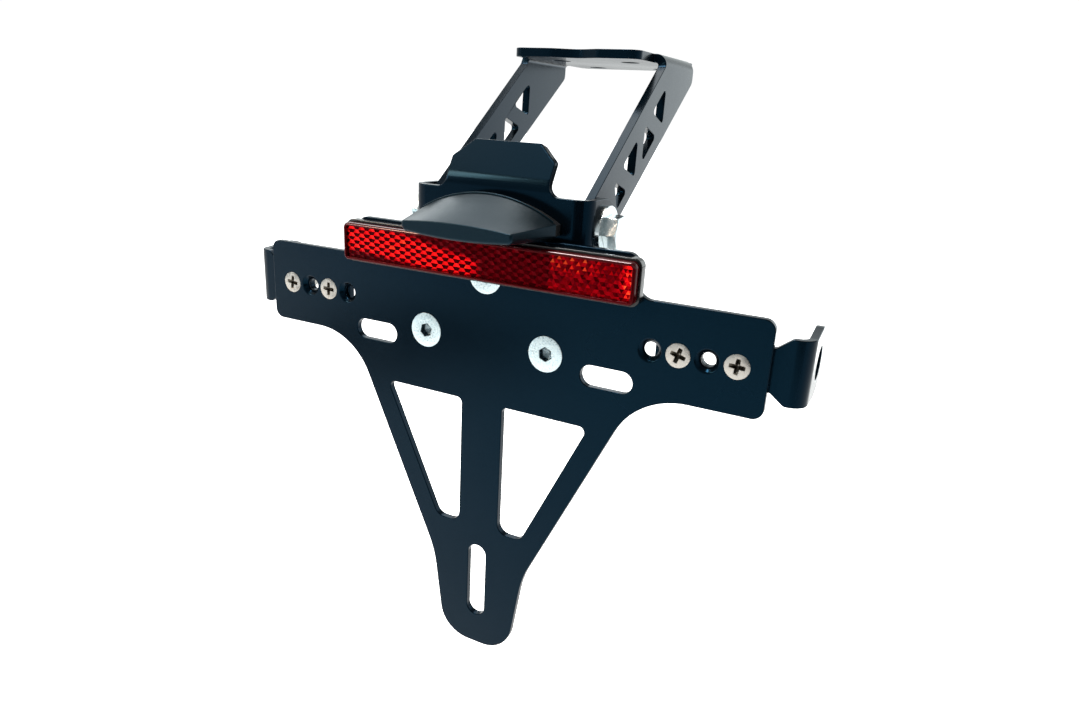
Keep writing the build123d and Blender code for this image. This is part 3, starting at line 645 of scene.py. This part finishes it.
# %% Skin over rings
def skin(name, loops, sharp_angle, marks=(), mark_name="painted_recess_shade"):
    """Closed mesh over loops of equal length, with both ends filled and marks on its first loops."""
    count = len(loops[0])
    work = bmesh.new()
    rows = [[work.verts.new(point) for point in loop] for loop in loops]
    for lower, upper in zip(rows, rows[1:]):
        for i in range(count):
            work.faces.new((lower[i], lower[(i + 1) % count], upper[(i + 1) % count], upper[i]))
    work.faces.new(rows[0])
    work.faces.new(rows[-1])
    bmesh.ops.recalc_face_normals(work, faces=work.faces)
    mesh = bpy.data.meshes.new(name)
    work.to_mesh(mesh)
    work.free()
    marks = [*marks, *[0.0] * (len(loops) - len(marks))]
    marked = mesh.attributes.new(mark_name, "FLOAT", "POINT")
    marked.data.foreach_set("value", [mark for mark in marks for _ in range(count)])
    mesh.shade_smooth()
    mesh.set_sharp_from_angle(angle=math.radians(sharp_angle))
    return mesh


def turned_shape(name, rings, angles, marks, sharp_angle=28):
    """Skin round the Y axis over rings in millimetres, whose radius is a number or a rule by angle."""
    loops = []
    for y, radius in rings:
        reaches = [radius(a) if callable(radius) else radius for a in angles]
        loops.append([(r * mm * math.cos(a), y * mm, r * mm * math.sin(a)) for r, a in zip(reaches, angles)])
    return skin(name, loops, sharp_angle, marks)


def hexagon_reach(flats):
    """Rule for the radius of a hexagon by its width across flats."""
    def reach(angle):
        return flats / 2 / math.cos((angle + math.pi / 6) % (math.pi / 3) - math.pi / 6)
    return reach


def cross_reach(length, width):
    """Rule for the radius of a cross by the length and width of its arms."""
    def reach(angle):
        side = (angle + math.pi / 4) % (math.pi / 2) - math.pi / 4
        along = length / 2 / math.cos(side)
        across = width / 2 / max(abs(math.sin(side)), 1e-6)
        return min(along, across)
    return reach


even_angles = [math.radians(7.5 * i) for i in range(48)]
cross_corner = math.atan2(1.0, 4.0)
quarter = [-math.pi / 4, -0.5, -cross_corner, -cross_corner * 0.5, 0.0,
           cross_corner * 0.5, cross_corner, 0.5]
cross_angles = [k * math.pi / 2 + a for k in range(4) for a in quarter]
print("rings of", len(even_angles), "and", len(cross_angles), "points")

# %% Socket screws of the carrier
# The last tuple marks painted shade on the recess's floor and lower walls.
socket_screw = turned_shape("socket_screw", [
    (2.9, 0.3), (2.2, hexagon_reach(3.7)), (0.2, hexagon_reach(4.0)), (0.0, hexagon_reach(4.4)),
    (0.0, 5.65), (0.08, 5.88), (0.25, 5.97), (0.45, 5.80),
    (3.2, 3.0), (12.6, 3.0), (12.7, 2.6), (15.1, 2.6), (15.5, 2.2),
], even_angles, (0.55, 0.75, 1.0))
socket_master = plain_object("socket_screw_master", socket_screw)


def solid_centres(part):
    """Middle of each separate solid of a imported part, from its loose triangles."""
    work = bmesh.new()
    work.from_mesh(parts[part].data)
    bmesh.ops.remove_doubles(work, verts=work.verts, dist=weld)
    waiting, centres = set(work.verts), []
    while waiting:
        group, front = [], [waiting.pop()]
        while front:
            vert = front.pop()
            group.append(vert.co.copy())
            for edge in vert.link_edges:
                other = edge.other_vert(vert)
                if other in waiting:
                    waiting.remove(other)
                    front.append(other)
        low = Vector([min(p[i] for p in group) for i in range(3)])
        high = Vector([max(p[i] for p in group) for i in range(3)])
        centres.append((low + high) / 2)
    work.free()
    return sorted(centres, key=lambda c: (round(c.x, 4), round(c.z, 4)))


socket_places = [(c.x, 0.0, c.z) for c in solid_centres("carrier_screws")]
socket_turns = [0.2, 0.75, -0.1]
socket_screws = grow("carrier_socket_screws", screw_tree,
                     points_mesh("socket_points", socket_places, socket_turns),
                     {"Screw": socket_master, "Metal": zinc})
bpy.data.objects.remove(socket_master)
stand_for(socket_screws, "carrier_screws", zinc)

# %% Cross-head screws of the indicator brackets
# The last tuple marks painted shade on the recess's floor and lower walls.
cross_screw = turned_shape("cross_screw", [
    (1.9, 0.25), (1.3, cross_reach(2.6, 0.80)), (0.12, cross_reach(4.5, 1.20)), (0.0, cross_reach(4.8, 1.40)),
    (0.0, 3.5), (0.06, 3.70), (0.2, 3.78), (0.35, 3.65),
    (2.0, 2.0), (10.2, 2.0), (10.3, 1.7), (12.7, 1.7), (13.0, 1.4),
], cross_angles, (0.7, 0.9, 0.95))
cross_master = plain_object("cross_screw_master", cross_screw)
cross_places = [(c.x, 0.0, c.z) for c in solid_centres("indicator_screws")]
cross_turns = [0.12, 0.05, 0.30, 0.08]
cross_screws = grow("indicator_cross_screws", screw_tree,
                    points_mesh("cross_points", cross_places, cross_turns),
                    {"Screw": cross_master, "Metal": stainless})
bpy.data.objects.remove(cross_master)
stand_for(cross_screws, "indicator_screws", stainless)

# %% [markdown]
# ## Threads where they show
# Behind the nuts a few turns of thread stick out. A thread is a ridge wound round the
# core, so the tree sweeps a small triangle along a spiral and sets the result down at
# each point. Winding it is simpler than cutting a groove, and the ridge's foot sinks
# into the core, so nothing gapes.

# %% Tree for thread ridges
thread_tree, entry, result = new_tree("wound_thread", {
    "Core Radius": "Float", "Pitch": "Float", "Length": "Float", "Ridge": "Float",
    "Lie": "Vector", "Metal": "Material"})
turns = maths(thread_tree, "DIVIDE", entry.outputs["Length"], entry.outputs["Pitch"])
path = step(thread_tree, "GeometryNodeCurveSpiral", [
    ("Resolution", 24), ("Rotations", turns), ("Start Radius", entry.outputs["Core Radius"]),
    ("End Radius", entry.outputs["Core Radius"]), ("Height", entry.outputs["Length"])])
tooth = step(thread_tree, "GeometryNodeCurvePrimitiveCircle", [
    ("Resolution", 3), ("Radius", entry.outputs["Ridge"])])
ridge = step(thread_tree, "GeometryNodeCurveToMesh", [
    ("Curve", path.outputs["Curve"]), ("Profile Curve", tooth.outputs["Curve"]), ("Fill Caps", True)])
laid = step(thread_tree, "GeometryNodeTransform", [
    ("Geometry", ridge.outputs["Mesh"]), ("Rotation", entry.outputs["Lie"])])
copies = step(thread_tree, "GeometryNodeInstanceOnPoints", [
    ("Points", entry.outputs["Geometry"]), ("Instance", laid.outputs["Geometry"])])
end_tree(thread_tree, copies.outputs["Instances"], entry.outputs["Metal"], result)

# %% Wind the threads
forwards = (-math.pi / 2, 0.0, 0.0)
ridge_share = 0.42
for name, places, start_y, core, pitch, length, metal, slot in (
    ("carrier_screw_threads", socket_places, 12.75, 2.6, 1.0, 2.3, zinc, "zinc_steel"),
    ("indicator_screw_threads", cross_places, 10.35, 1.72, 0.7, 2.3, stainless, "stainless_steel"),
):
    seeds = points_mesh(name + "_points", [(x, start_y * mm, z) for x, y, z in places])
    threads = grow(name, thread_tree, seeds, {
        "Core Radius": core * mm, "Pitch": pitch * mm, "Length": length * mm,
        "Ridge": ridge_share * pitch * mm, "Lie": forwards, "Metal": metal})
    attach(threads, "plate_holder")

# %% [markdown]
# ## Bead on the light's rear edge
# The light's hood ends at the back in a fine raised bead, which covers the joint with the
# rubber base and draws a thin pale line. A bead follows a path, so a tree sweeps a small
# circle along the arch of the rear edge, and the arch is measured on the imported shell.

# %% Tree for a bead
bead_tree, entry, result = new_tree("edge_bead", {"Radius": "Float", "Finish": "Material"})
arch = step(bead_tree, "GeometryNodeMeshToCurve", [("Mesh", entry.outputs["Geometry"])])
ring = step(bead_tree, "GeometryNodeCurvePrimitiveCircle", [
    ("Resolution", 12), ("Radius", entry.outputs["Radius"])])
swept = step(bead_tree, "GeometryNodeCurveToMesh", [
    ("Curve", arch.outputs["Curve"]), ("Profile Curve", ring.outputs["Curve"]), ("Fill Caps", True)])
end_tree(bead_tree, swept.outputs["Mesh"], entry.outputs["Finish"], result)

# %% Sweep the bead
bead_radius, bead_share, half_steps = 0.32 * mm, 0.96, 24
shell_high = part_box("plate_light_shell")[1]
rear = [v.co for v in parts["plate_light_shell"].data.vertices if v.co.y > shell_high.y - 0.01 * mm]
rise = shell_high.z - max(co.z for co in rear if co.x > shell_high.x - 0.02 * mm)
arch_radius = (shell_high.x ** 2 + rise ** 2) / (2 * rise)
bead_points = []
for i in range(-half_steps, half_steps + 1):
    x = shell_high.x * bead_share * i / half_steps
    bead_points.append((x, shell_high.y - bead_radius,
                        shell_high.z - arch_radius + math.sqrt(arch_radius ** 2 - x ** 2)))
bead_path = bpy.data.meshes.new("bead_path")
bead_path.from_pydata(bead_points, [(i, i + 1) for i in range(2 * half_steps)], [])
bead = grow("plate_light_bead", bead_tree, bead_path, {"Radius": bead_radius, "Finish": hood_plastic})
bead.data.shade_smooth()
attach(bead, "plate_holder")
print("arch of radius", round(arch_radius / mm, 1), "mm")

# %% [markdown]
# ## The reflector's prisms
# A reflector sends light back to where it came from with hundreds of moulded corners of
# a cube. From the front each corner is a hexagon with three facets that fall to its
# middle. Here the half of each cell that flashes and the half that stays dark are marked on
# its facets, and the red finish paints the flash in as a highlight. The tree takes a fan of
# six triangles, lifts its rim to make the three facets, and sets it down on a honeycomb
# of points. The lens has two such fields, and in the smaller one on the right the cells are
# turned about; a hexagon fits its neighbours either way, so one honeycomb serves both. Each
# cell is a hair out of true, as in a worn mould, so the sparkle isn't regular.

# %% Tree for the prism field: one cell
prism_tree, entry, result = new_tree("prism_field", {
    "Cell": "Float", "Columns": "Int", "Rows": "Int", "Depth": "Float", "Wobble": "Float",
    "Half Width": "Float", "Half Height": "Float", "Turn From": "Float", "Place": "Vector", "Seed": "Int",
    "Red": "Material"})
cell, depth = entry.outputs["Cell"], entry.outputs["Depth"]
rows, columns, seed_number = entry.outputs["Rows"], entry.outputs["Columns"], entry.outputs["Seed"]
number = step(prism_tree, "GeometryNodeInputIndex").outputs["Index"]
fan = step(prism_tree, "GeometryNodeMeshCircle", [
    ("Vertices", 6), ("Radius", maths(prism_tree, "DIVIDE", cell, math.sqrt(3)))],
    fill_type="TRIANGLE_FAN")
every_second = maths(prism_tree, "ADD", maths(prism_tree, "MODULO", number, 2.0), 1.0)
on_rim = maths(prism_tree, "LESS_THAN", number, 5.5)
lift = maths(prism_tree, "MULTIPLY", every_second, maths(prism_tree, "DIVIDE", depth, 3.0))
height = maths(prism_tree, "MULTIPLY", lift, on_rim)
cube_corner = step(prism_tree, "GeometryNodeSetPosition", [
    ("Geometry", fan.outputs["Mesh"]),
    ("Offset", step(prism_tree, "ShaderNodeCombineXYZ", [("Z", height)]).outputs["Vector"])])
# Marks the three facets of each cell that get a painted flash in the red finish.
painted_flash_faces = step(prism_tree, "GeometryNodeStoreNamedAttribute", [
    ("Geometry", cube_corner.outputs["Geometry"]), ("Name", "painted_flash"),
    ("Value", maths(prism_tree, "LESS_THAN", number, 2.5))], data_type="FLOAT", domain="FACE")
top_facet = maths(prism_tree, "ABSOLUTE", maths(prism_tree, "SUBTRACT", number, 1.0))
# Marks each cell's top facet, which gets a painted spark in the red finish.
painted_spark_faces = step(prism_tree, "GeometryNodeStoreNamedAttribute", [
    ("Geometry", painted_flash_faces.outputs["Geometry"]), ("Name", "painted_spark"),
    ("Value", maths(prism_tree, "LESS_THAN", top_facet, 0.5))], data_type="FLOAT", domain="FACE")
print("one cell of six facets")

# %% Tree for the prism field: honeycomb
column_pitch = maths(prism_tree, "MULTIPLY", cell, math.sqrt(3) / 2)
comb = step(prism_tree, "GeometryNodeMeshGrid", [
    ("Size X", maths(prism_tree, "MULTIPLY", column_pitch, maths(prism_tree, "SUBTRACT", columns, 1.0))),
    ("Size Y", maths(prism_tree, "MULTIPLY", cell, maths(prism_tree, "SUBTRACT", rows, 1.0))),
    ("Vertices X", columns), ("Vertices Y", rows)])
column = maths(prism_tree, "FLOOR", maths(prism_tree, "DIVIDE", number, rows))
odd_column = maths(prism_tree, "MODULO", column, 2.0)
half_up = maths(prism_tree, "MULTIPLY", maths(prism_tree, "SUBTRACT", odd_column, 0.5),
                maths(prism_tree, "DIVIDE", cell, 2.0))
honeycomb = step(prism_tree, "GeometryNodeSetPosition", [
    ("Geometry", comb.outputs["Mesh"]),
    ("Offset", step(prism_tree, "ShaderNodeCombineXYZ", [("Y", half_up)]).outputs["Vector"])])
chance = step(prism_tree, "FunctionNodeRandomValue", [("Seed", seed_number)], data_type="FLOAT_VECTOR")
chance.inputs["Min"].default_value = (-1.0, -1.0, 0.0)
chance.inputs["Max"].default_value = (1.0, 1.0, 0.0)
lean = step(prism_tree, "ShaderNodeVectorMath", [
    (0, chance.outputs["Value"]), ("Scale", entry.outputs["Wobble"])], operation="SCALE")
spot = step(prism_tree, "ShaderNodeSeparateXYZ", [
    ("Vector", step(prism_tree, "GeometryNodeInputPosition").outputs["Position"])])
turned = maths(prism_tree, "GREATER_THAN", spot.outputs["X"], entry.outputs["Turn From"])
about = step(prism_tree, "ShaderNodeCombineXYZ", [("Z", maths(prism_tree, "MULTIPLY", turned, math.pi))])
stance = step(prism_tree, "ShaderNodeVectorMath", [
    (0, lean.outputs["Vector"]), (1, about.outputs["Vector"])], operation="ADD")
copies = step(prism_tree, "GeometryNodeInstanceOnPoints", [
    ("Points", honeycomb.outputs["Geometry"]), ("Instance", painted_spark_faces.outputs["Geometry"]),
    ("Rotation", stance.outputs["Vector"])])
tone = step(prism_tree, "FunctionNodeRandomValue", [("Seed", seed_number)], data_type="FLOAT")
tone_value = [o for o in tone.outputs if o.type == "VALUE" and o.enabled][0]
toned = step(prism_tree, "GeometryNodeStoreNamedAttribute", [
    ("Geometry", copies.outputs["Instances"]), ("Name", "cell_tone"), ("Value", tone_value)],
    data_type="FLOAT", domain="INSTANCE")
sided = step(prism_tree, "GeometryNodeStoreNamedAttribute", [
    ("Geometry", toned.outputs["Geometry"]), ("Name", "turned"), ("Value", turned)],
    data_type="FLOAT", domain="INSTANCE")
loose = step(prism_tree, "GeometryNodeRealizeInstances", [("Geometry", sided.outputs["Geometry"])])
real = step(prism_tree, "GeometryNodeStoreNamedAttribute", [
    ("Geometry", loose.outputs["Geometry"]), ("Name", "facet_tone"), ("Value", tone_value)],
    data_type="FLOAT", domain="FACE")
print("honeycomb of turned cells")

# %% Tree for the prism field: trim and place
too_wide = maths(prism_tree, "GREATER_THAN", maths(prism_tree, "ABSOLUTE", spot.outputs["X"]),
                 entry.outputs["Half Width"])
too_high = maths(prism_tree, "GREATER_THAN", maths(prism_tree, "ABSOLUTE", spot.outputs["Y"]),
                 entry.outputs["Half Height"])
kept = step(prism_tree, "GeometryNodeDeleteGeometry", [
    ("Geometry", real.outputs["Geometry"]),
    ("Selection", maths(prism_tree, "MAXIMUM", too_wide, too_high))], domain="FACE")
stood = step(prism_tree, "GeometryNodeTransform", [
    ("Geometry", kept.outputs["Geometry"]), ("Translation", entry.outputs["Place"]),
    ("Rotation", (math.pi / 2, 0.0, 0.0))])
reddened = step(prism_tree, "GeometryNodeSetMaterial", [
    ("Geometry", stood.outputs["Geometry"]), ("Material", entry.outputs["Red"])])
prism_tree.links.new(reddened.outputs["Geometry"], result.inputs["Geometry"])
print(prism_tree.name, "has", len(prism_tree.nodes), "nodes")

# %% [markdown]
# ## Red for facets and rim
# The lens is dyed acrylic. Its facets mirror the room in pure red, so they are shaded as
# a red mirror, and their flashes are painted into that red. In the large field a painted
# highlight lies on the upper halves of a slanting band of cells, and the cells above the
# band and right of the middle are left dark as painted shade; the rest has only a faint
# painted glow. In the small field one narrow facet of each cell near the top gets a painted
# flash, the outer end a painted sparkle, and the bottom is painted a little lighter. The
# plain rim round the prisms is thick dyed plastic and looks darker, and its rounded edge is
# polished, so it draws a thin white line.

# %% Helpers for the red's values
lens_low, lens_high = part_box("reflector_lens")
lens_middle_z = (lens_low.z + lens_high.z) / 2
field_seam = 24.5 * mm
prism_red_painted_flash, red_shader = new_material("prism_red_painted_flash", {"Metallic": 1.0, "Roughness": 0.30})
red_tree = prism_red_painted_flash.node_tree


def cell_value(name):
    """Value that the prism tree stored on the cells."""
    return step(red_tree, "ShaderNodeAttribute", attribute_name=name).outputs["Fac"]


def product(first, second):
    return maths(red_tree, "MULTIPLY", first, second)


def total(first, second):
    return maths(red_tree, "ADD", first, second)


def ramp(value, start, end, from_value, to_value):
    return spread(red_tree, value, start, end, from_value, to_value)


on_lens = step(red_tree, "ShaderNodeTexCoord").outputs["Object"]
lens_axes = step(red_tree, "ShaderNodeSeparateXYZ", [("Vector", on_lens)])
along = lens_axes.outputs["X"]
down = ramp(lens_axes.outputs["Z"], lens_high.z, lens_low.z, 0.0, 1.0)
painted_flash, painted_spark = cell_value("painted_flash"), cell_value("painted_spark")
tone, facet = cell_value("cell_tone"), cell_value("facet_tone")
print("lens from", round(lens_low.x / mm, 2), "to", round(lens_high.x / mm, 2), "mm")

# %% The large field: a slanting band of painted highlight
# Painted highlight on a slanting band; above it and right of the middle the cells stay dark as painted shade.
painted_band_top = ramp(along, -35 * mm, 0.0, 0.02, 0.50)
painted_band_foot = ramp(along, -48 * mm, -15 * mm, 0.70, 0.93)
under_painted_band_top = ramp(maths(red_tree, "SUBTRACT", down, painted_band_top), -0.06, 0.10, 0.0, 1.0)
over_painted_band_foot = ramp(maths(red_tree, "SUBTRACT", painted_band_foot, down), -0.06, 0.08, 0.0, 1.0)
painted_lit_band = product(product(under_painted_band_top, over_painted_band_foot), ramp(along, -4 * mm, 2 * mm, 1.0, 0.0))
painted_glow = total(ramp(painted_flash, 0, 1, 0.03, 0.08), ramp(facet, 0, 1, 0.0, 0.05))
painted_band_flash = product(painted_flash, ramp(tone, 0, 1, 0.50, 0.78))
large_field_painted_light = total(painted_glow, product(painted_lit_band, painted_band_flash))
print("large field left of", field_seam)

# %% The small field: painted flashes and a painted bright end
# Painted flashes near the top, a painted bright end, and a bottom painted a little lighter.
painted_flash_zone = product(ramp(down, 0.36, 0.52, 1.0, 0.0), ramp(along, 33 * mm, 45 * mm, 1.0, 0.3))
painted_few_flashes = product(product(painted_spark, painted_flash_zone), ramp(tone, 0, 1, 0.75, 1.0))
painted_bright_end = product(ramp(along, 46.8 * mm, 49.0 * mm, 0.0, 1.0), ramp(facet, 0.25, 1, 0.0, 0.75))
painted_dim_glow = total(ramp(facet, 0, 1, 0.08, 0.24), ramp(down, 0.65, 1.0, 0.0, 0.08))
small_field_painted_light = total(total(painted_dim_glow, painted_few_flashes), painted_bright_end)
print("small field right of", field_seam)

# %% Two reds
# The painted light of both fields runs through a ramp from dark red to bright red.
painted_prism_light = mixed(red_tree, cell_value("turned"), large_field_painted_light, small_field_painted_light, "FLOAT")
painted_red_ramp = step(red_tree, "ShaderNodeValToRGB", [("Fac", painted_prism_light)])
stops = painted_red_ramp.color_ramp.elements
stops[0].position, stops[0].color = 0.0, (0.008, 0.0, 0.0004, 1)
stops[1].position, stops[1].color = 1.0, (1.0, 0.085, 0.022, 1)
stops.new(0.12).color = (0.080, 0.0002, 0.0022, 1)
stops.new(0.50).color = (0.52, 0.0012, 0.0040, 1)
stops.new(0.85).color = (0.98, 0.0080, 0.0080, 1)
red_tree.links.new(painted_red_ramp.outputs["Color"], red_shader.inputs["Base Color"])

rim_red = grained_finish(
    "rim_red", (0.030, 0.0002, 0.0008), (0.055, 0.0003, 0.0014),
    grain=500.0, patch=60.0, roughness=(0.08, 0.14), bump=0.02,
    constants={"Specular IOR Level": 0.22, "Specular Tint": (1.0, 0.10, 0.14, 1), "Coat Roughness": 0.12})
polish = step(rim_red.node_tree, "ShaderNodeAttribute", attribute_name="polish")
rim_shader = rim_red.node_tree.nodes["Principled BSDF"]
rim_red.node_tree.links.new(polish.outputs["Fac"], rim_shader.inputs["Coat Weight"])
print("two reds")

# %% [markdown]
# ## The lens round the prisms
# The moulded lens is a shallow tray turned face out: sides that lean in a little, a
# rounded edge, a narrow flat rim, then a small step down to the prisms. Rounded
# rectangles, one behind the other, give all of that with one skin, and the mark on the
# rounded edge tells the finish where it is polished.

# %% Lens rim
def rounded_loop(inset, y, outer_radius=1.8 * mm, least_radius=0.25 * mm, corner_steps=8):
    """Rounded rectangle of the lens outline, set in by an inset, at a depth."""
    half_width = lens_high.x - inset
    half_height = (lens_high.z - lens_low.z) / 2 - inset
    radius = max(outer_radius - inset, least_radius)
    loop = []
    for quadrant, (sx, sz) in enumerate(((1, 1), (-1, 1), (-1, -1), (1, -1))):
        for i in range(corner_steps + 1):
            angle = math.radians(90 * quadrant + 90 * i / corner_steps)
            loop.append((sx * (half_width - radius) + radius * math.cos(angle), y,
                         lens_middle_z + sz * (half_height - radius) + radius * math.sin(angle)))
    return loop


front, back = lens_low.y, lens_high.y
rim_steps = [(0.04, 0.62), (0.12, 0.40), (0.26, 0.20), (0.46, 0.07), (0.66, 0.01), (0.76, 0.0),
             (1.00, 0.0), (1.06, 0.06), (1.10, 1.9)]
rim_loops = [rounded_loop(inset * mm, front + depth * mm) for inset, depth in rim_steps]
rim_polish = (0.0, 0.0, 0.5, 1.0, 1.0, 0.5)
rim_mesh = skin("reflector_rim", [rounded_loop(0.0, back), *rim_loops], 50, rim_polish, "polish")
top_edge_height, polish_elsewhere = 1.6 * mm, 0.05
for point, mark in zip(rim_mesh.vertices, rim_mesh.attributes["polish"].data):
    if point.co.z < lens_high.z - top_edge_height:
        mark.value *= polish_elsewhere
rim = plain_object("reflector_lens_rim", rim_mesh)
stand_for(rim, "reflector_lens", rim_red)
print(rim.name, len(rim_mesh.polygons), "faces")

# %% Prism field
cell_size, cell_depth, cell_wobble = 2.4 * mm, 0.35 * mm, 0.05
field_inset, field_setback = 0.8 * mm, 0.9 * mm
field_half_width = lens_high.x - field_inset
field_half_height = (lens_high.z - lens_low.z) / 2 - field_inset
prisms = grow("reflector_prisms", prism_tree, points_mesh("prism_seed", [(0, 0, 0)]), {
    "Cell": cell_size, "Columns": math.ceil(2 * field_half_width / (math.sqrt(3) / 2 * cell_size)) + 2,
    "Rows": math.ceil(2 * field_half_height / cell_size) + 2, "Depth": cell_depth, "Wobble": cell_wobble,
    "Half Width": field_half_width, "Half Height": field_half_height, "Turn From": field_seam,
    "Place": (0, front + field_setback, lens_middle_z), "Seed": 7, "Red": prism_red_painted_flash})
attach(prisms, "plate_holder")
